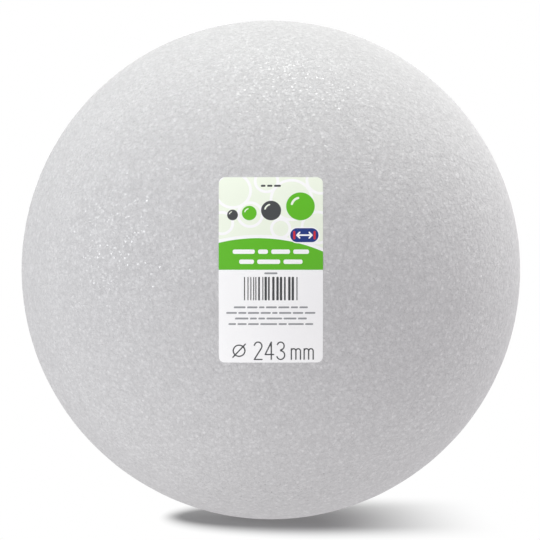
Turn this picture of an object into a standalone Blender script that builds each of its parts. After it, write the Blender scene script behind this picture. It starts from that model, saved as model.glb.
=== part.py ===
"""Polystyrene ball with a paper label.

A solid craft ball of expanded foam, with one small paper label stuck on its front.
Metres, +Z up. The origin is the ball's centre, and the label faces -Y.
Run it with: blender --background --python part.py
"""

import math

import bmesh
import bpy
from mathutils import Vector

# Driving dimensions, in metres
BALL_DIAMETER = 0.243
LABEL_WIDTH = 0.048
LABEL_HEIGHT = 0.0868
LABEL_CORNER_RADIUS = 0.0028
LABEL_THICKNESS = 0.00012
LABEL_CLEARANCE = 0.0003

# How finely the round forms are faceted
BALL_SUBDIVISIONS = 5
LABEL_FACET = 0.006
LABEL_CORNER_SEGMENTS = 5

# Finishes, as linear colour, roughness and metallic
FOAM_FINISH = ((0.62, 0.62, 0.63, 1.0), 0.75, 0.0)
PAPER_FINISH = ((0.88, 0.90, 0.86, 1.0), 0.55, 0.0)


def clear_scene():
    """Remove every object, so that the part is built from nothing."""
    for found in list(bpy.data.objects):
        bpy.data.objects.remove(found, do_unlink=True)


def make_collection(name):
    """Make a collection in the scene for the part's objects."""
    made = bpy.data.collections.new(name)
    bpy.context.scene.collection.children.link(made)
    return made


def make_material(name, finish):
    """Make a Principled material from a colour, a roughness and a metallic value."""
    colour, roughness, metallic = finish
    material = bpy.data.materials.new(name)
    material.use_nodes = True
    shader = material.node_tree.nodes["Principled BSDF"]
    shader.inputs["Base Color"].default_value = colour
    shader.inputs["Roughness"].default_value = roughness
    shader.inputs["Metallic"].default_value = metallic
    material.diffuse_color = colour
    return material


def take_active(name, collection, material):
    """Name the object that was just added, give it its material and move it to the collection."""
    made = bpy.context.active_object
    made.name = name
    made.data.name = name
    made.data.materials.append(material)
    for holder in list(made.users_collection):
        holder.objects.unlink(made)
    collection.objects.link(made)
    return made


def cut_lines(length, facet):
    """Give the places, along a length centred on 0, where a sheet is cut into even facets."""
    count = max(2, math.ceil(length / facet))
    return [length * (step / count - 0.5) for step in range(1, count)]


def wrapped(flat, radius):
    """Lay a point of the flat label on a sphere.

    Its distances from the label's middle become arcs on the sphere, so that each edge of
    the label still looks straight from the front.
    """
    x = radius * math.sin(flat.x / radius)
    z = radius * math.sin(flat.y / radius)
    y = -math.sqrt(radius**2 - x**2 - z**2)
    return Vector((x, y, z))


def foam_ball(collection):
    """Add the ball, one solid of foam."""
    material = make_material("foam", FOAM_FINISH)
    bpy.ops.mesh.primitive_ico_sphere_add(subdivisions=BALL_SUBDIVISIONS, radius=BALL_DIAMETER / 2)
    ball = take_active("foam_ball", collection, material)
    ball.data.shade_smooth()
    return ball


def label(collection):
    """Add the label, a rounded sheet of paper that follows the ball."""
    material = make_material("label_paper", PAPER_FINISH)
    bpy.ops.mesh.primitive_plane_add(size=1.0)
    sheet = take_active("label", collection, material)
    inner_radius = BALL_DIAMETER / 2 + LABEL_CLEARANCE

    flat = bmesh.new()
    flat.from_mesh(sheet.data)
    bmesh.ops.scale(flat, vec=(LABEL_WIDTH, LABEL_HEIGHT, 1.0), verts=flat.verts)

    # Rounded corners
    bmesh.ops.bevel(
        flat,
        geom=flat.verts[:],
        offset=LABEL_CORNER_RADIUS,
        segments=LABEL_CORNER_SEGMENTS,
        profile=0.5,
        affect="VERTICES",
    )

    # Even facets, so that the sheet can bend
    for along, length in ((Vector((1, 0, 0)), LABEL_WIDTH), (Vector((0, 1, 0)), LABEL_HEIGHT)):
        for place in cut_lines(length, LABEL_FACET):
            everything = flat.verts[:] + flat.edges[:] + flat.faces[:]
            bmesh.ops.bisect_plane(flat, geom=everything, plane_co=along * place, plane_no=along)

    for vertex in flat.verts:
        vertex.co = wrapped(vertex.co, inner_radius)
    bmesh.ops.triangulate(flat, faces=flat.faces[:])
    flat.normal_update()
    flat.to_mesh(sheet.data)
    flat.free()
    sheet.data.shade_smooth()

    # The paper's thickness, built outwards from the foam
    paper = sheet.modifiers.new("thickness", "SOLIDIFY")
    paper.thickness = LABEL_THICKNESS
    paper.offset = 1.0
    return sheet


def main():
    """Build the part."""
    clear_scene()
    collection = make_collection("polystyrene_ball")
    foam_ball(collection)
    label(collection)


main()
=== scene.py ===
"""Looks of the polystyrene ball: its foam skin, its paper label, and a plain white studio.

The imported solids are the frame. Two pieces are dressed: the ball, as a skin with the low
swells and the fine glinting cells of moulded foam, and the label, as a sheet of printed
paper pressed onto that skin. Lengths are in metres, unless a name ends in _MM or _PX.
"""

import math

import bpy
import numpy as np
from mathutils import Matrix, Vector


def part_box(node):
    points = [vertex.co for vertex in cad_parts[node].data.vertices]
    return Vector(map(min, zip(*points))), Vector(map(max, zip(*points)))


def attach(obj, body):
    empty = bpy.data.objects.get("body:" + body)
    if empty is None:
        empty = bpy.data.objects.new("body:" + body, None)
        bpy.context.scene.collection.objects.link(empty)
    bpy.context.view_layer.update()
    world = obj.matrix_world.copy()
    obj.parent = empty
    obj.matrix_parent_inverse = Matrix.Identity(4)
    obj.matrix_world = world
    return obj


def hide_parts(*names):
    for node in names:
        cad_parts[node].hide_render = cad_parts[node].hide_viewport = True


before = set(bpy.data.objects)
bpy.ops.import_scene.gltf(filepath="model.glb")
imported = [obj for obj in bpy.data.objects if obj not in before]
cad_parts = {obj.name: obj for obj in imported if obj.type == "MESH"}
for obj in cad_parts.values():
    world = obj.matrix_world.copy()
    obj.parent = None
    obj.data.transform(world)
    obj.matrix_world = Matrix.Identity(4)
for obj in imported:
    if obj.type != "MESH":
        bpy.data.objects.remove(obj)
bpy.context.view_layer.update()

MM = 0.001

# The ball and the label, as the frame has them
ball_low, ball_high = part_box("foam_ball")
BALL_RADIUS = (ball_high.x - ball_low.x) / 2
label_low, label_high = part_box("label")
LABEL_FACE = -label_low.y

# Swells of the foam's surface: how wide each one is, how high it stands, and its seed
SWELLS = ((0.085, 0.00016, 3), (0.0105, 0.00004, 5), (0.0052, 0.00003, 8))

# How many random values stand along each side of a swell's lattice
LATTICE_COUNT = 64

# The skin's grids: their steps along a side, and the decimals by which two points are one
SKIN_STEPS = 128
SAME_POINT_DECIMALS = 7

# The label's sheet
PAPER_THICKNESS = 0.00012
GLUE_THICKNESS = 0.00004
CORNER_RADIUS = 0.0028
CORNER_STEPS = 10
PAPER_STEP = 0.00034
SHARP_EDGE_DEGREES = 50

# The photograph's framing, in pixels, and the camera that gives it
FRAME_PX = 540.0
BALL_CENTRE_PX = (270.80, 269.83)
BALL_RADIUS_PX = 249.28
CAMERA_DISTANCE = 1.8
SENSOR_MM = 36.0


# Shader maths

class Value:
    """A number in a material, as an output socket: maths on it adds Math nodes."""

    def __init__(self, nodes, socket):
        self.nodes = nodes
        self.socket = socket

    def _maths(self, operation, *values):
        return self.nodes.add("ShaderNodeMath", {"operation": operation}, dict(enumerate(values)))

    def __add__(self, other):
        return self._maths("ADD", self, other)

    def __radd__(self, other):
        return self._maths("ADD", other, self)

    def __sub__(self, other):
        return self._maths("SUBTRACT", self, other)

    def __rsub__(self, other):
        return self._maths("SUBTRACT", other, self)

    def __mul__(self, other):
        return self._maths("MULTIPLY", self, other)

    def __rmul__(self, other):
        return self._maths("MULTIPLY", other, self)

    def __truediv__(self, other):
        return self._maths("DIVIDE", self, other)

    def above(self, edge):
        return self._maths("GREATER_THAN", self, edge)

    def larger(self, other):
        return self._maths("MAXIMUM", self, other)

    def smaller(self, other):
        return self._maths("MINIMUM", self, other)

    def root(self):
        return self._maths("SQRT", self)

    def eased(self, low, high):
        """Give 0 below low and 1 above high, with a smooth step between them."""
        settings = {"interpolation_type": "SMOOTHSTEP"}
        values = {"Value": self, "From Min": low, "From Max": high, "To Min": 0.0, "To Max": 1.0}
        return self.nodes.add("ShaderNodeMapRange", settings, values)


class Nodes:
    """A node tree, with one way to add a node to it."""

    def __init__(self, owner):
        owner.use_nodes = True
        self.tree = owner.node_tree
        self.tree.nodes.clear()

    def node(self, kind, settings=None, values=None):
        """Add a node: its type, then its settings, then the values or links of its sockets."""
        made = self.tree.nodes.new(kind)
        for name, setting in (settings or {}).items():
            setattr(made, name, setting)
        for name, value in (values or {}).items():
            if isinstance(value, Value):
                self.tree.links.new(value.socket, made.inputs[name])
            else:
                made.inputs[name].default_value = value
        return made

    def add(self, kind, settings=None, values=None, output=0):
        """Add a node and give one of its outputs."""
        return Value(self, self.node(kind, settings, values).outputs[output])

    def place(self):
        """Give the point that is shaded, in Object coordinates."""
        return self.add("ShaderNodeTexCoord", output=3)

    def vector(self, operation, *values):
        """Add a Vector Math node."""
        return self.add("ShaderNodeVectorMath", {"operation": operation}, dict(enumerate(values)))

    def scaled(self, vector, factor):
        """Scale a vector by a number."""
        values = {0: vector, "Scale": factor}
        return self.add("ShaderNodeVectorMath", {"operation": "SCALE"}, values)

    def blend(self, factor, first, second):
        """Mix two colours."""
        settings = {"data_type": "RGBA"}
        values = {"Factor": factor, 6: first, 7: second}
        return self.add("ShaderNodeMix", settings, values, output=2)

    def cells(self, place, size):
        """Add a pattern of cells of this size.

        Give the distance to the cell's own point, as a share of that size, and the three
        random numbers that belong to the cell.
        """
        values = {"Vector": place, "Scale": 1 / size}
        made = self.node("ShaderNodeTexVoronoi", {"voronoi_dimensions": "3D"}, values)
        return Value(self, made.outputs["Distance"]), Value(self, made.outputs["Color"])

    def lot(self, seed):
        """Draw a number from 0 to 1 for each value of a random vector."""
        return self.add("ShaderNodeTexWhiteNoise", values={"Vector": seed})

    def noise(self, place, size, detail, roughness):
        """Add soft noise, whose largest waves have this size."""
        values = {"Vector": place, "Scale": 1 / size, "Detail": detail, "Roughness": roughness}
        return self.add("ShaderNodeTexNoise", values=values)


def grey(level, tint=(1.0, 1.0, 1.0)):
    """Give a linear colour from one level and a tint."""
    return (level * tint[0], level * tint[1], level * tint[2], 1.0)


def shown(red, green, blue):
    """Give the linear colour that a screen shows as these 8-bit numbers, by the sRGB curve."""
    parts = [part / 255 for part in (red, green, blue)]
    return tuple(p / 12.92 if p <= 0.04045 else ((p + 0.055) / 1.055) ** 2.4 for p in parts) + (1.0,)


# Meshes

def lattice_noise(points, width, seed):
    """Give smooth noise from -1 to 1 at each point.

    Random values stand on a cubic lattice of the given width. Between its corners they are
    blended by the quintic 6t^5 - 15t^4 + 10t^3 of each coordinate's fraction t.
    """
    sides = (LATTICE_COUNT, LATTICE_COUNT, LATTICE_COUNT)
    lattice = np.random.default_rng(seed).uniform(-1.0, 1.0, sides)
    place = points / width
    corner = np.floor(place).astype(int)
    part = place - corner
    ease = part**3 * (part * (part * 6 - 15) + 10)
    total = np.zeros(len(points))
    for step in np.ndindex(2, 2, 2):
        share = np.prod(np.where(step, ease, 1 - ease), axis=1)
        index = (corner + step) % LATTICE_COUNT
        total += share * lattice[index[:, 0], index[:, 1], index[:, 2]]
    return total


def foam_height(directions):
    """Give how far the foam's surface stands off the true ball: the sum of its swells."""
    points = directions * BALL_RADIUS
    return sum(height * lattice_noise(points, width, seed) for width, height, seed in SWELLS)


def new_mesh_object(name, points, faces):
    """Make an object from arrays of points and of faces."""
    mesh = bpy.data.meshes.new(name)
    mesh.from_pydata(points, [], faces)
    mesh.update()
    made = bpy.data.objects.new(name, mesh)
    bpy.context.scene.collection.objects.link(made)
    return made


def foam_skin():
    """Make the ball's skin, a cube of six grids swelled to a ball.

    A point (s, t) of a grid, each from -1 to 1, lies in the direction
    normal + tan(pi/4 s) across + tan(pi/4 t) up, which keeps the grid's steps even. Its
    distance from the centre is the ball's radius plus the foam's height there.
    """
    steps = np.tan(np.linspace(-1.0, 1.0, SKIN_STEPS + 1) * math.pi / 4)
    across, up = np.meshgrid(steps, steps, indexing="ij")
    index = np.arange((SKIN_STEPS + 1) ** 2).reshape(SKIN_STEPS + 1, SKIN_STEPS + 1)
    square = np.stack([index[:-1, :-1], index[1:, :-1], index[1:, 1:], index[:-1, 1:]], axis=-1)
    square = square.reshape(-1, 4)
    points = []
    faces = []
    for axis in range(3):
        for sign in (1.0, -1.0):
            normal, first, second = (np.eye(3)[(axis + turn) % 3] for turn in range(3))
            grid = sign * normal + across[..., None] * first + sign * up[..., None] * second
            faces.append(square + len(points) * index.size)
            points.append(grid.reshape(-1, 3))
    directions = np.concatenate(points)
    directions /= np.linalg.norm(directions, axis=1, keepdims=True)
    # Points on shared edges are made one
    rounded = directions.round(SAME_POINT_DECIMALS)
    directions, place = np.unique(rounded, axis=0, return_inverse=True)
    directions /= np.linalg.norm(directions, axis=1, keepdims=True)
    quads = place.reshape(-1)[np.concatenate(faces)]
    radii = BALL_RADIUS + foam_height(directions)
    skin = new_mesh_object("foam_skin", directions * radii[:, None], quads)
    skin.data.shade_smooth()
    return skin


# The label's print, in millimetres from the label's middle, u to the right and v up.
# Each shape is given by the distance to its edge, which is negative inside it.

def bar(u, v, centre, half_width, half_height, rounding):
    """Give the distance to a bar with rounded corners."""
    across = np.abs(u - centre[0]) - half_width + rounding
    up = np.abs(v - centre[1]) - half_height + rounding
    outside = np.hypot(np.maximum(across, 0), np.maximum(up, 0))
    return outside + np.minimum(np.maximum(across, up), 0) - rounding


def disc(u, v, centre, radius):
    """Give the distance to a disc."""
    return np.hypot(u - centre[0], v - centre[1]) - radius


def stroke(u, v, points, width):
    """Give the distance to a pen line of this width through the points."""
    nearest = np.full(u.shape, np.inf)
    for start, end in zip(points[:-1], points[1:]):
        run = np.subtract(end, start)
        along = ((u - start[0]) * run[0] + (v - start[1]) * run[1]) / (run @ run)
        along = np.clip(along, 0, 1)
        gap = np.hypot(u - start[0] - along * run[0], v - start[1] - along * run[1])
        nearest = np.minimum(nearest, gap)
    return nearest - width / 2


def arc(centre, radii, turns, count):
    """Give points on an arc of an ellipse, between two angles in degrees."""
    angles = np.radians(np.linspace(*turns, count))
    return [(centre[0] + radii[0] * math.cos(a), centre[1] + radii[1] * math.sin(a)) for a in angles]


def joined(shapes):
    """Give the distance to several shapes as one."""
    return np.minimum.reduce(list(shapes))


# The band, the hill on its top, and the bubbles over it, each with its centre and radius
BAND_FOOT_MM = 0.0
HILL_CENTRE_MM = (-6.0, -62.0)
HILL_RADIUS_MM = 76.5
HILL_EDGE_MM = 1.5
BUBBLES_MM = (
    ((-17.5, 37.0), 8.2), ((-2.0, 41.5), 5.2), ((9.5, 32.5), 9.4), ((23.0, 42.0), 6.4),
    ((-9.5, 25.5), 5.6), ((21.5, 19.5), 7.2), ((4.5, 19.0), 4.2), ((-22.5, 21.5), 5.0),
)
BUBBLE_LINE_MM = 1.3


def green_band(u, v):
    """Give the band across the label, with the edge of a wide hill on its top."""
    hill = disc(u, v, HILL_CENTRE_MM, HILL_RADIUS_MM)
    return np.maximum(hill, BAND_FOOT_MM - v)


def pale_ground(u, v):
    """Give the pale ground above the band, less a white edge on the hill and white bubbles."""
    hill = disc(u, v, HILL_CENTRE_MM, HILL_RADIUS_MM + HILL_EDGE_MM)
    lines = joined(
        np.abs(disc(u, v, centre, radius)) - BUBBLE_LINE_MM / 2 for centre, radius in BUBBLES_MM
    )
    return np.maximum(-hill, -lines)


# The row of growing balls: each one's place and radius, and its light spot as shares of the radius
BALLS_MM = ((-17.6, 2.5), (-9.9, 3.4), (0.1, 4.6), (13.6, 6.6))
BALL_ROW_FOOT_MM = 22.8
SPOT_REACH = 0.62
SPOT_WIDTH = 0.16
SPOT_TURNS = (105, 165)
SPOT_POINTS = 16


def ball_row(u, v, chosen):
    """Give the chosen balls of a row of growing balls, each with a light spot left in it."""
    shapes = []
    for number in chosen:
        across, radius = BALLS_MM[number]
        centre = (across, BALL_ROW_FOOT_MM + radius)
        whole = disc(u, v, centre, radius)
        reach = radius * SPOT_REACH
        line = arc(centre, (reach, reach), SPOT_TURNS, SPOT_POINTS)
        spot = stroke(u, v, line, radius * SPOT_WIDTH)
        shapes.append(np.maximum(whole, -spot))
    return joined(shapes)


# The block of upright bars: its half width, foot and top, and what its bars are drawn from
BLOCK_HALF_WIDTH_MM = 12.3
BLOCK_FOOT_MM = -14.0
BLOCK_TOP_MM = -3.2
BLOCK_STEPS_MM = (0.5, 0.5, 0.8, 1.1)
BLOCK_DRAWS = 40
BLOCK_SEED = 21
BLOCK_ROUNDING_MM = 0.02


def bars_block(u, v):
    """Give a block of upright bars of unequal widths: every second step of a random row."""
    steps = np.random.default_rng(BLOCK_SEED).choice(BLOCK_STEPS_MM, BLOCK_DRAWS)
    edges = -BLOCK_HALF_WIDTH_MM + np.cumsum(np.concatenate([[0], steps]))
    edges = edges[edges <= BLOCK_HALF_WIDTH_MM]
    middle = (BLOCK_FOOT_MM + BLOCK_TOP_MM) / 2
    half = (BLOCK_TOP_MM - BLOCK_FOOT_MM) / 2
    return joined(
        bar(u, v, ((start + end) / 2, middle), (end - start) / 2, half, BLOCK_ROUNDING_MM)
        for start, end in zip(edges[:-1:2], edges[1::2])
    )


# Rows of rounded bars: their height, the row's place, its half length, its seed and its bars.
# A bar's length is drawn from the range, and its space and rounding are shares of its height.
WIDE_ROWS_MM = ((2.0, 8.3, 17.5, 31, 4), (2.0, 3.7, 14.5, 32, 3))
TOP_ROW_MM = (1.0, 39.2, 4.6, 33, 3)
FINE_ROWS_MM = (
    (0.85, -17.2, 17.0, 41, 7),
    (0.85, -19.8, 20.5, 42, 8),
    (0.85, -22.4, 16.5, 43, 6),
    (0.85, -25.0, 19.5, 44, 7),
    (0.85, -1.6, 3.0, 45, 1),
)
ROW_LENGTHS = (0.6, 1.6)
ROW_SPACE = 0.75
ROW_ROUNDING = 0.4


def bar_row(u, v, height, centre_v, half_length, seed, bars):
    """Give a row of rounded bars of unequal lengths, which fill the row's own length."""
    lengths = np.random.default_rng(seed).uniform(*ROW_LENGTHS, bars)
    space = height * ROW_SPACE
    lengths *= (2 * half_length - space * (bars - 1)) / lengths.sum()
    starts = -half_length + np.concatenate([[0], np.cumsum(lengths + space)[:-1]])
    middles = starts + lengths / 2
    return joined(
        bar(u, v, (middle, centre_v), length / 2, height / 2, height * ROW_ROUNDING)
        for middle, length in zip(middles, lengths)
    )


# The size mark: its foot, its height and its pen, then the place and form of each of its signs
SIZE_FOOT_MM = -41.9
SIZE_HEIGHT_MM = 8.4
SIZE_TOP_MM = SIZE_FOOT_MM + SIZE_HEIGHT_MM
SIZE_PEN_MM = 0.62
BOWL_POINTS = 14

RING_MIDDLE_MM = -14.6
RING_RADIUS_MM = 2.7
RING_POINTS = 28
SLASH_REACH_MM = 2.9
SLASH_SHARES = (0.12, 0.88)

TWO_LEFT_MM = -7.6
TWO_WIDTH_MM = 3.6
TWO_BOWL_MM = (1.75, 1.95)
TWO_TURNS = (170, -28)

FOUR_LEFT_MM = -2.6
FOUR_WIDTH_MM = 3.9
FOUR_STEM_MM = 2.8
FOUR_BAR_RISE_MM = 2.4

THREE_LEFT_MM = 2.9
THREE_UPPER_MM = (1.6, 1.85)
THREE_UPPER_TURNS = (160, -90)
THREE_LOWER_MM = (1.85, 2.1)
THREE_LOWER_TURNS = (90, -160)

UNIT_LEFTS_MM = (9.4, 15.3)
UNIT_HEIGHT_MM = SIZE_HEIGHT_MM * 0.62
SHOULDER_MM = (1.05, 1.1)
SHOULDER_TURNS = (180, 0)
SHOULDER_POINTS = 10


def diameter_sign(middle):
    """Give the pen lines of a diameter sign, a ring with a slash through it."""
    radii = (RING_RADIUS_MM, RING_RADIUS_MM)
    ring = arc((middle, SIZE_FOOT_MM + SIZE_HEIGHT_MM / 2), radii, (0, 360), RING_POINTS)
    low, high = (SIZE_FOOT_MM + SIZE_HEIGHT_MM * share for share in SLASH_SHARES)
    return [ring, [(middle - SLASH_REACH_MM, low), (middle + SLASH_REACH_MM, high)]]


def figure_two(left):
    """Give the pen line of a 2: a bowl that runs down to the foot, and the foot."""
    across, up = TWO_BOWL_MM
    bowl = arc((left + across, SIZE_TOP_MM - up), TWO_BOWL_MM, TWO_TURNS, BOWL_POINTS)
    return [bowl + [(left, SIZE_FOOT_MM), (left + TWO_WIDTH_MM, SIZE_FOOT_MM)]]


def figure_four(left):
    """Give the pen line of a 4: up its stem, down its slope and along its crossbar."""
    stem = left + FOUR_STEM_MM
    crossbar = SIZE_FOOT_MM + FOUR_BAR_RISE_MM
    up = [(stem, SIZE_FOOT_MM), (stem, SIZE_TOP_MM)]
    return [up + [(left, crossbar), (left + FOUR_WIDTH_MM, crossbar)]]


def figure_three(left):
    """Give the pen line of a 3: its upper bowl, then its lower one."""
    middle = left + THREE_UPPER_MM[0]
    upper_centre = (middle, SIZE_TOP_MM - THREE_UPPER_MM[1])
    lower_centre = (middle, SIZE_FOOT_MM + THREE_LOWER_MM[1])
    upper = arc(upper_centre, THREE_UPPER_MM, THREE_UPPER_TURNS, BOWL_POINTS)
    lower = arc(lower_centre, THREE_LOWER_MM, THREE_LOWER_TURNS, BOWL_POINTS)
    return [upper + lower]


def letter_m(left):
    """Give the pen lines of an m: its first stem, and two shoulders with theirs."""
    across, up = SHOULDER_MM
    top = SIZE_FOOT_MM + UNIT_HEIGHT_MM
    lines = [[(left, SIZE_FOOT_MM), (left, top)]]
    for start in (left, left + 2 * across):
        shoulder = arc((start + across, top - up), SHOULDER_MM, SHOULDER_TURNS, SHOULDER_POINTS)
        lines.append(shoulder + [(start + 2 * across, SIZE_FOOT_MM)])
    return lines


def size_mark(u, v):
    """Give the ball's size in thin upright figures: a diameter sign, 243 and mm."""
    lines = diameter_sign(RING_MIDDLE_MM)
    lines += figure_two(TWO_LEFT_MM)
    lines += figure_four(FOUR_LEFT_MM)
    lines += figure_three(THREE_LEFT_MM)
    for left in UNIT_LEFTS_MM:
        lines += letter_m(left)
    return joined(stroke(u, v, line, SIZE_PEN_MM) for line in lines)


# The plate, and on it two stops with a width arrow between them
PLATE_CENTRE_MM = (15.4, 15.9)
PLATE_HALF_WIDTH_MM = 6.8
PLATE_HALF_HEIGHT_MM = 3.5
PLATE_EDGE_MM = 0.5
STOP_REACH_MM = 4.7
STOP_HALF_MM = 1.5
STOP_PEN_MM = 1.0
ARROW_REACH_MM = 3.5
ARROW_BARB_MM = 1.3
ARROW_PEN_MM = 0.7


def size_plate(u, v):
    """Give a plate with round ends, which holds a width arrow between two stops."""
    return bar(u, v, PLATE_CENTRE_MM, PLATE_HALF_WIDTH_MM, PLATE_HALF_HEIGHT_MM, PLATE_HALF_HEIGHT_MM)


def plate_stops(u, v):
    """Give the two upright stops on the plate."""
    middle, height = PLATE_CENTRE_MM
    sides = [middle - STOP_REACH_MM, middle + STOP_REACH_MM]
    return joined(
        stroke(u, v, [(side, height - STOP_HALF_MM), (side, height + STOP_HALF_MM)], STOP_PEN_MM)
        for side in sides
    )


def width_arrow(u, v):
    """Give the arrow on the plate, which points to both stops."""
    middle, height = PLATE_CENTRE_MM
    lines = []
    for side in (-1, 1):
        tip = (middle + side * ARROW_REACH_MM, height)
        barb = middle + side * (ARROW_REACH_MM - ARROW_BARB_MM)
        lines.append([(middle, height), tip])
        lines.append([(barb, height - ARROW_BARB_MM), tip, (barb, height + ARROW_BARB_MM)])
    return joined(stroke(u, v, line, ARROW_PEN_MM) for line in lines)


def print_inks(u, v):
    """Give the distance to each ink's shapes, in the order in which they are printed."""
    wide_rows = [bar_row(u, v, *row) for row in WIDE_ROWS_MM]
    plate_edge = np.abs(size_plate(u, v)) - PLATE_EDGE_MM / 2
    dark = [ball_row(u, v, (0, 2)), bars_block(u, v), size_mark(u, v), bar_row(u, v, *TOP_ROW_MM)]
    return {
        "pale_green": pale_ground(u, v),
        "green": joined([green_band(u, v), ball_row(u, v, (1, 3))]),
        "navy": size_plate(u, v),
        "red": plate_stops(u, v),
        "white": joined(wide_rows + [plate_edge, width_arrow(u, v)]),
        "charcoal": joined(dark),
        "fine_print": joined(bar_row(u, v, *row) for row in FINE_ROWS_MM),
    }


def paper_rows(half_height):
    """Give the sheet's rows: even steps between the corners, and even turns round them."""
    turns = np.linspace(0, math.pi / 2, CORNER_STEPS + 1)[1:]
    straight = half_height - CORNER_RADIUS
    count = math.ceil(2 * straight / PAPER_STEP)
    corner = straight + CORNER_RADIUS * np.sin(turns)
    return np.concatenate([-corner[::-1], np.linspace(-straight, straight, count + 1), corner])


def sheet_faces(rows, columns):
    """Give the faces of a closed sheet of points: its front, its back and a strip round its rim."""
    count = rows * columns
    index = np.arange(count).reshape(rows, columns)
    quads = np.stack([index[:-1, :-1], index[:-1, 1:], index[1:, 1:], index[1:, :-1]], axis=-1)
    quads = quads.reshape(-1, 4)
    rim = np.concatenate([index[0, :-1], index[:-1, -1], index[-1, :0:-1], index[:0:-1, 0]])
    ahead = np.roll(rim, -1)
    sides = np.stack([rim, rim + count, ahead + count, ahead], axis=-1)
    return np.concatenate([quads, quads[:, ::-1] + count, sides])


def print_front(sheet, u, v):
    """Keep the distance to each ink's shapes at each point of the sheet's front.

    The points of the back follow those of the front, and stay unprinted.
    """
    unprinted = np.full(u.size, 1.0)
    for name, distance in print_inks(u.ravel() / MM, v.ravel() / MM).items():
        ink = sheet.data.attributes.new(name, "FLOAT", "POINT")
        ink.data.foreach_set("value", np.concatenate([distance, unprinted]).astype(np.float32))


def label_sheet():
    """Make the label, a closed sheet of paper pressed onto the foam.

    A row at height v is as wide as the label, less what the round corners take from it.
    A point (u, v) of the flat sheet lies at x = F sin(u/F), z = F sin(v/F) on the ball of
    the label's own radius F, on the side that faces -Y. Its face then follows the foam's
    height, and its back lies on the foam.
    """
    face = LABEL_FACE
    half_width = face * math.asin(label_high.x / face)
    half_height = face * math.asin(label_high.z / face)
    v = paper_rows(half_height)
    past = np.maximum(np.abs(v) - (half_height - CORNER_RADIUS), 0)
    reach = half_width - CORNER_RADIUS + np.sqrt(np.maximum(CORNER_RADIUS**2 - past**2, 0))
    columns = math.ceil(2 * half_width / PAPER_STEP)
    u = np.linspace(-1, 1, columns + 1)[None, :] * reach[:, None]
    v = np.broadcast_to(v[:, None], u.shape)
    x = np.sin(u / face)
    z = np.sin(v / face)
    directions = np.stack([x, -np.sqrt(1 - x**2 - z**2), z], axis=-1).reshape(-1, 3)
    foam = BALL_RADIUS + foam_height(directions)
    back = directions * foam[:, None]
    front = directions * (foam + GLUE_THICKNESS + PAPER_THICKNESS)[:, None]
    sheet = new_mesh_object("label_paper", np.concatenate([front, back]), sheet_faces(*u.shape))
    print_front(sheet, u, v)
    sheet.data.shade_smooth()
    sheet.data.set_sharp_from_angle(angle=math.radians(SHARP_EDGE_DEGREES))
    return sheet


# Materials

# The foam's colour and gloss. Past the fade, where it is seen edge-on, it has only a faint sheen.
FOAM_TINT = (1.007, 1.000, 1.006)
FOAM_LEVEL = 0.575
POLYSTYRENE_IOR = 1.59
MATT_ROUGHNESS = 0.80
EDGE_SHEEN = 0.12
EDGE_FADE = (0.50, 0.76)

# The foam's beads: their size, and the shares of it where the painted highlight on a crest
# fades out and the painted shade in a furrow fades in
BEAD_SIZE = 2.2 * MM
BEAD_CREST = (0.10, 0.45)
BEAD_FURROW = (0.40, 0.75)

# The foam's facets: their size, the shares of it where they end and where the grain rises again,
# how far they tilt, how level they are, how many are smooth, how rough those are, and how much
# of their gloss the dullest one loses
FACET_SIZE = 1.5 * MM
FACET_EDGE = 0.40
FACET_RIM = (0.30, 0.55)
FACET_TILT = 0.35
FACET_FLATNESS = 0.9
FACETS_SMOOTH = 0.96
FACET_ROUGHNESS = 0.16
FACET_DULLING = 0.2

# The foam's grain and its broad waves: their size, detail and roughness
GRAIN = (0.7 * MM, 2.0, 0.6)
WAVES = (8.0 * MM, 2.0, 0.5)

# The foam's relief: the height of one unit, and the units of each pattern
RELIEF = 0.30 * MM
BEAD_DOME = 0.7
GRAIN_RISE = 1.2
WAVE_RISE = 0.25

# How much each pattern changes the foam's level, and about which middle value. The crests and
# the facet spots carry painted highlights and the furrows painted shade; the rest is tone that
# differs at random.
CREST_HIGHLIGHT = 0.14
CREST_MIDDLE = 0.15
BEAD_LIGHT = 0.04
FACET_SPOT_HIGHLIGHT = 0.08
FACET_MIDDLE = 0.2
GRAIN_LIGHT = 0.30
WAVE_LIGHT = 0.07
FURROW_SHADE = 0.04


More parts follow.
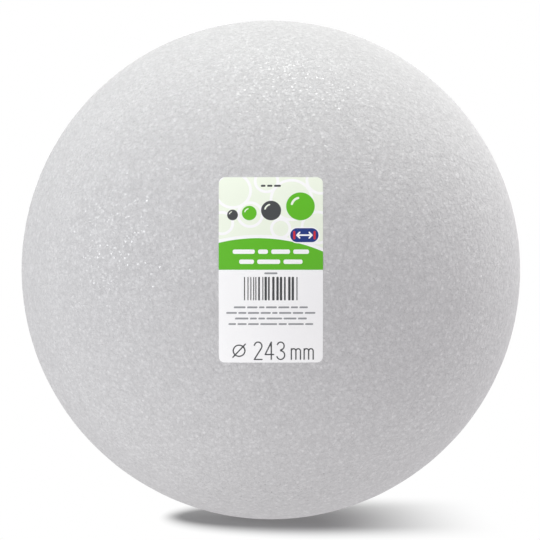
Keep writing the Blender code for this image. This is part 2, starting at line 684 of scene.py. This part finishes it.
def foam_material():
    """Foam: soft white beads of about two millimetres, strewn with small facets.

    Each bead is a low dome, painted lighter on its crest as a highlight and painted darker in
    the furrow round it as shade. Each smooth facet has its own tilt, and glints where that
    faces a lamp; its spot is also painted a little lighter, as a painted glint. The rest is matt.
    """
    material = bpy.data.materials.new("expanded_foam")
    nodes = Nodes(material)
    place = nodes.place()
    normal = nodes.add("ShaderNodeNewGeometry", output=1)
    from_bead, bead_seed = nodes.cells(place, BEAD_SIZE)
    bead_tone = nodes.lot(bead_seed)
    from_facet, facet_seed = nodes.cells(place, FACET_SIZE)
    facet_tone = nodes.lot(facet_seed)
    grain = nodes.noise(place, *GRAIN)
    waves = nodes.noise(place, *WAVES)

    spot = 1 - from_facet.above(FACET_EDGE)
    smooth_spot = spot * (1 - facet_tone.above(FACETS_SMOOTH))
    tilt = nodes.vector("SUBTRACT", facet_seed, (0.5, 0.5, 0.5))
    tilted = nodes.vector("ADD", normal, nodes.scaled(tilt, FACET_TILT * smooth_spot))
    facet = nodes.vector("NORMALIZE", tilted)

    # The grain is nearly level on a facet, and stands out between them
    between = 1 - FACET_FLATNESS * (1 - from_facet.eased(*FACET_RIM))
    dome = -BEAD_DOME * from_bead * from_bead
    height = dome + GRAIN_RISE * (grain - 0.5) * between + WAVE_RISE * waves
    bumped = nodes.add(
        "ShaderNodeBump",
        values={"Strength": 1.0, "Distance": RELIEF, "Height": height, "Normal": facet},
    )

    # Painted light in the colour: a highlight on each bead's crest, and shade in its furrow
    crest_highlight = 1 - from_bead.eased(*BEAD_CREST)
    furrow_shading = from_bead.eased(*BEAD_FURROW)
    # The facet spots are painted lighter as glints, on top of the real glints from their gloss
    level = FOAM_LEVEL * (
        1.0
        + CREST_HIGHLIGHT * (crest_highlight * bead_tone - CREST_MIDDLE)
        + BEAD_LIGHT * (bead_tone - 0.5)
        + FACET_SPOT_HIGHLIGHT * (spot * facet_tone - FACET_MIDDLE)
        + GRAIN_LIGHT * (grain - 0.5)
        + WAVE_LIGHT * (waves - 0.5)
        - FURROW_SHADE * furrow_shading
    )
    colour = nodes.blend(level, grey(0.0), grey(1.0, FOAM_TINT))
    polish = smooth_spot * (1 - FACET_DULLING * facet_tone)
    rough = MATT_ROUGHNESS - (MATT_ROUGHNESS - FACET_ROUGHNESS) * polish
    glossy = nodes.add(
        "ShaderNodeBsdfPrincipled",
        values={"Base Color": colour, "Roughness": rough, "IOR": POLYSTYRENE_IOR, "Normal": bumped},
    )
    # Foam that is seen edge-on stays matt, so that the ball keeps a clean outline
    matt = nodes.add(
        "ShaderNodeBsdfPrincipled",
        values={"Base Color": colour, "Roughness": MATT_ROUGHNESS, "Specular IOR Level": EDGE_SHEEN,
                "Normal": bumped},
    )
    aslant = nodes.add("ShaderNodeLayerWeight", values={"Blend": 0.5, "Normal": normal}, output=1)
    shader = nodes.add("ShaderNodeMixShader", values={0: aslant.eased(*EDGE_FADE), 1: glossy, 2: matt})
    nodes.node("ShaderNodeOutputMaterial", values={"Surface": shader})
    return material


INK_COLOURS = (
    ("pale_green", shown(238, 245, 228)),
    ("green", shown(93, 181, 30)),
    ("navy", shown(22, 48, 120)),
    ("red", shown(205, 42, 52)),
    ("white", shown(250, 250, 250)),
    ("charcoal", shown(62, 64, 66)),
    ("fine_print", shown(150, 152, 154)),
)
INK_EDGE_MM = 0.06

# The paper's stock: its darkest and lightest tone, and its gloss
PAPER_TONES = (shown(248, 248, 248), shown(252, 252, 251))
PAPER_IOR = 1.45
PAPER_ROUGHNESS = 0.46
FIBRE_ROUGHNESS = 0.10

# The paper's fibres and its low waves: their size, detail and roughness, and how high they stand
FIBRES = (0.5 * MM, 4.0, 0.65)
FIBRE_RISE = 0.1
PRESSED = (2.0 * MM, 1.0, 0.5)
PRESSED_HEIGHT = 0.1 * MM
PRESSED_STRENGTH = 0.25


def paper_material():
    """Label paper: smooth white stock, with each ink laid where its distance is negative."""
    material = bpy.data.materials.new("printed_label_paper")
    nodes = Nodes(material)
    place = nodes.place()
    fibres = nodes.noise(place, *FIBRES)
    pressed = nodes.noise(place, *PRESSED)
    colour = nodes.blend(fibres, *PAPER_TONES)
    for name, ink in INK_COLOURS:
        edge = nodes.add("ShaderNodeAttribute", {"attribute_name": name}, output=2)
        mask = 1 - edge.eased(-INK_EDGE_MM, INK_EDGE_MM)
        colour = nodes.blend(mask, colour, ink)
    height = pressed + FIBRE_RISE * fibres
    bumped = nodes.add(
        "ShaderNodeBump",
        values={"Strength": PRESSED_STRENGTH, "Distance": PRESSED_HEIGHT, "Height": height},
    )
    rough = PAPER_ROUGHNESS + FIBRE_ROUGHNESS * fibres
    shader = nodes.add(
        "ShaderNodeBsdfPrincipled",
        values={"Base Color": colour, "Roughness": rough, "IOR": PAPER_IOR, "Normal": bumped},
    )
    nodes.node("ShaderNodeOutputMaterial", values={"Surface": shader})
    return material


def dress(piece, material, node):
    """Give a piece its material, and let it ride and stand for its node."""
    piece.data.materials.append(material)
    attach(piece, "root")
    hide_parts(node)


# The studio

# The floor: its size, the gap that clears the foam's swells, the level and tint of its light on
# the ball, and the grey of the table in the shadow window, which is painted shade round the real
# shadow
FLOOR_SIZE = 12.0
FLOOR_GAP = 0.4 * MM
FLOOR_GLOW = 0.98
FLOOR_TINT = (1.0, 0.988, 1.004)
FLOOR_LEVEL = 0.38

# Where the floor shows a painted shadow: a grey patch with the ball's real shadow in it, half an
# oval on the left and a fade to the right. Its edge is crisp at the left tip and soft towards the
# camera and away from it.
SHADOW_CENTRE = (0.030, 0.022)
SHADOW_RADII = (0.0795, 0.117)
SHADOW_CRISP = 0.08
SHADOW_SOFT = 0.45
SHADOW_FADE = (0.020, 0.112)
NEAR_ZERO = 1e-6


def shadow_window(nodes):
    """Give 1 on the floor inside the painted shadow patch, and 0 where the floor is plain white."""
    parts = nodes.node("ShaderNodeSeparateXYZ", values={0: nodes.place()})
    x = Value(nodes, parts.outputs["X"])
    y = Value(nodes, parts.outputs["Y"])
    aside = (x - SHADOW_CENTRE[0]).smaller(0.0) / SHADOW_RADII[0]
    depth = (y - SHADOW_CENTRE[1]) / SHADOW_RADII[1]
    reach = aside * aside + depth * depth
    softness = SHADOW_CRISP + (SHADOW_SOFT - SHADOW_CRISP) * depth * depth / reach.larger(NEAR_ZERO)
    oval = 1 - reach.root().eased(1 - softness, 1 + softness)
    return oval * (1 - x.eased(*SHADOW_FADE))


def beyond_the_studio(nodes):
    """Give 1 for what the camera, a mirror or glass sees, and 0 for light that falls on things."""
    path = nodes.node("ShaderNodeLightPath")
    seen, mirrored, through = (
        Value(nodes, path.outputs[name])
        for name in ("Is Camera Ray", "Is Glossy Ray", "Is Transmission Ray")
    )
    return seen.larger(mirrored).larger(through)


def studio_floor():
    """Make a white table that the ball stands on.

    The camera sees it white, with a painted grey shadow patch that holds the ball's real
    shadow. To the ball it is a soft even light.
    """
    half = FLOOR_SIZE / 2
    height = -BALL_RADIUS - FLOOR_GAP
    corners = [(x * half, y * half, height) for x, y in ((-1, -1), (1, -1), (1, 1), (-1, 1))]
    floor = new_mesh_object("studio_floor", corners, [(0, 1, 2, 3)])
    material = bpy.data.materials.new("white_table")
    nodes = Nodes(material)
    # Inside the shadow window the camera sees this dim grey table: painted shade, with the real shadow
    # on it
    table = nodes.add("ShaderNodeBsdfDiffuse", values={"Color": grey(FLOOR_LEVEL)})
    white = nodes.add("ShaderNodeEmission", values={"Color": grey(1.0), "Strength": 1.0})
    glow_colour = grey(FLOOR_GLOW, FLOOR_TINT)
    glow = nodes.add("ShaderNodeEmission", values={"Color": glow_colour, "Strength": 1.0})
    look = nodes.add("ShaderNodeMixShader", values={0: shadow_window(nodes), 1: white, 2: table})
    shader = nodes.add("ShaderNodeMixShader", values={0: beyond_the_studio(nodes), 1: glow, 2: look})
    nodes.node("ShaderNodeOutputMaterial", values={"Surface": shader})
    floor.data.materials.append(material)


# The light from all round
ROOM_LEVEL = 0.28
ROOM_TINT = (1.0, 0.90, 1.03)

# The lamps: where each one stands, seen from the ball, its level, its width and height, its
# tint, and whether it is mirrored in the foam's facets
LAMP_DISTANCE = 1.6
PLAIN_LIGHT = (1.0, 1.0, 1.0)
TOP_LIGHT = (0.968, 1.0, 0.958)
LEFT_LIGHT = (0.955, 1.0, 1.0)
LAMPS = (
    ("lamp_above", (0.09, 0.25, 0.98), 0.16, (0.84, 0.40), TOP_LIGHT, True),
    ("lamp_top", (0.0, -0.14, 1.0), 0.62, (1.3, 1.3), TOP_LIGHT, False),
    ("lamp_top_right", (0.6, 0.1, 0.8), 0.445, (1.2, 1.2), TOP_LIGHT, False),
    ("lamp_left", (-0.95, -0.24, 0.25), 0.168, (0.44, 0.44), LEFT_LIGHT, True),
    ("lamp_low_left", (-0.85, 0.10, -0.02), 0.08, (0.9, 0.9), LEFT_LIGHT, False),
    ("lamp_front_left", (-0.6, -0.75, 0.12), 0.29, (0.9, 0.9), LEFT_LIGHT, False),
    ("lamp_left_back", (-0.6, 0.6, 0.5), 0.26, (1.2, 1.2), TOP_LIGHT, False),
    ("lamp_right_back", (0.8, 0.6, 0.04), 0.83, (1.8, 1.8), PLAIN_LIGHT, False),
)


def soft_lamp(name, direction, level, size, tint, mirrored):
    """Add a soft lamp, as wide and as high as its size says.

    A level of 1 lights a surface that faces the lamp as it is written. Only a mirrored lamp
    glints in the foam's facets, and the others fill in the light round the ball.
    """
    towards = Vector(direction).normalized()
    lamp = bpy.data.lights.new(name, "AREA")
    lamp.shape = "ELLIPSE"
    lamp.size, lamp.size_y = size
    lamp.energy = level * math.pi**2 * LAMP_DISTANCE**2
    lamp.color = tint
    holder = bpy.data.objects.new(name, lamp)
    holder.location = towards * LAMP_DISTANCE
    holder.rotation_euler = (-towards).to_track_quat("-Z", "Y").to_euler()
    holder.visible_glossy = mirrored
    bpy.context.scene.collection.objects.link(holder)


def white_room():
    """Light the ball from all round, and show white behind it."""
    world = bpy.data.worlds.new("white_room")
    nodes = Nodes(world)
    colour = nodes.blend(beyond_the_studio(nodes), grey(ROOM_LEVEL, ROOM_TINT), grey(1.0))
    back = nodes.add("ShaderNodeBackground", values={"Color": colour, "Strength": 1.0})
    nodes.node("ShaderNodeOutputWorld", values={"Surface": back})
    bpy.context.scene.world = world


def photo_camera():
    """Add the camera: level, at the ball's middle, framed as the photograph is."""
    half_frame = FRAME_PX / 2
    edge_slope = BALL_RADIUS / math.sqrt(CAMERA_DISTANCE**2 - BALL_RADIUS**2)
    half_slope = edge_slope * half_frame / BALL_RADIUS_PX
    camera = bpy.data.cameras.new("camera")
    camera.sensor_width = SENSOR_MM
    camera.lens = SENSOR_MM / 2 / half_slope
    metres_per_px = half_slope * CAMERA_DISTANCE / half_frame
    holder = bpy.data.objects.new("camera", camera)
    aside = -(BALL_CENTRE_PX[0] - half_frame) * metres_per_px
    rise = (BALL_CENTRE_PX[1] - half_frame) * metres_per_px
    holder.location = (aside, -CAMERA_DISTANCE, rise)
    holder.rotation_euler = (math.pi / 2, 0.0, 0.0)
    bpy.context.scene.collection.objects.link(holder)
    bpy.context.scene.camera = holder


bpy.context.scene.view_settings.view_transform = "Standard"
photo_camera()
studio_floor()
white_room()
for lamp_row in LAMPS:
    soft_lamp(*lamp_row)

dress(foam_skin(), foam_material(), "foam_ball")
dress(label_sheet(), paper_material(), "label")
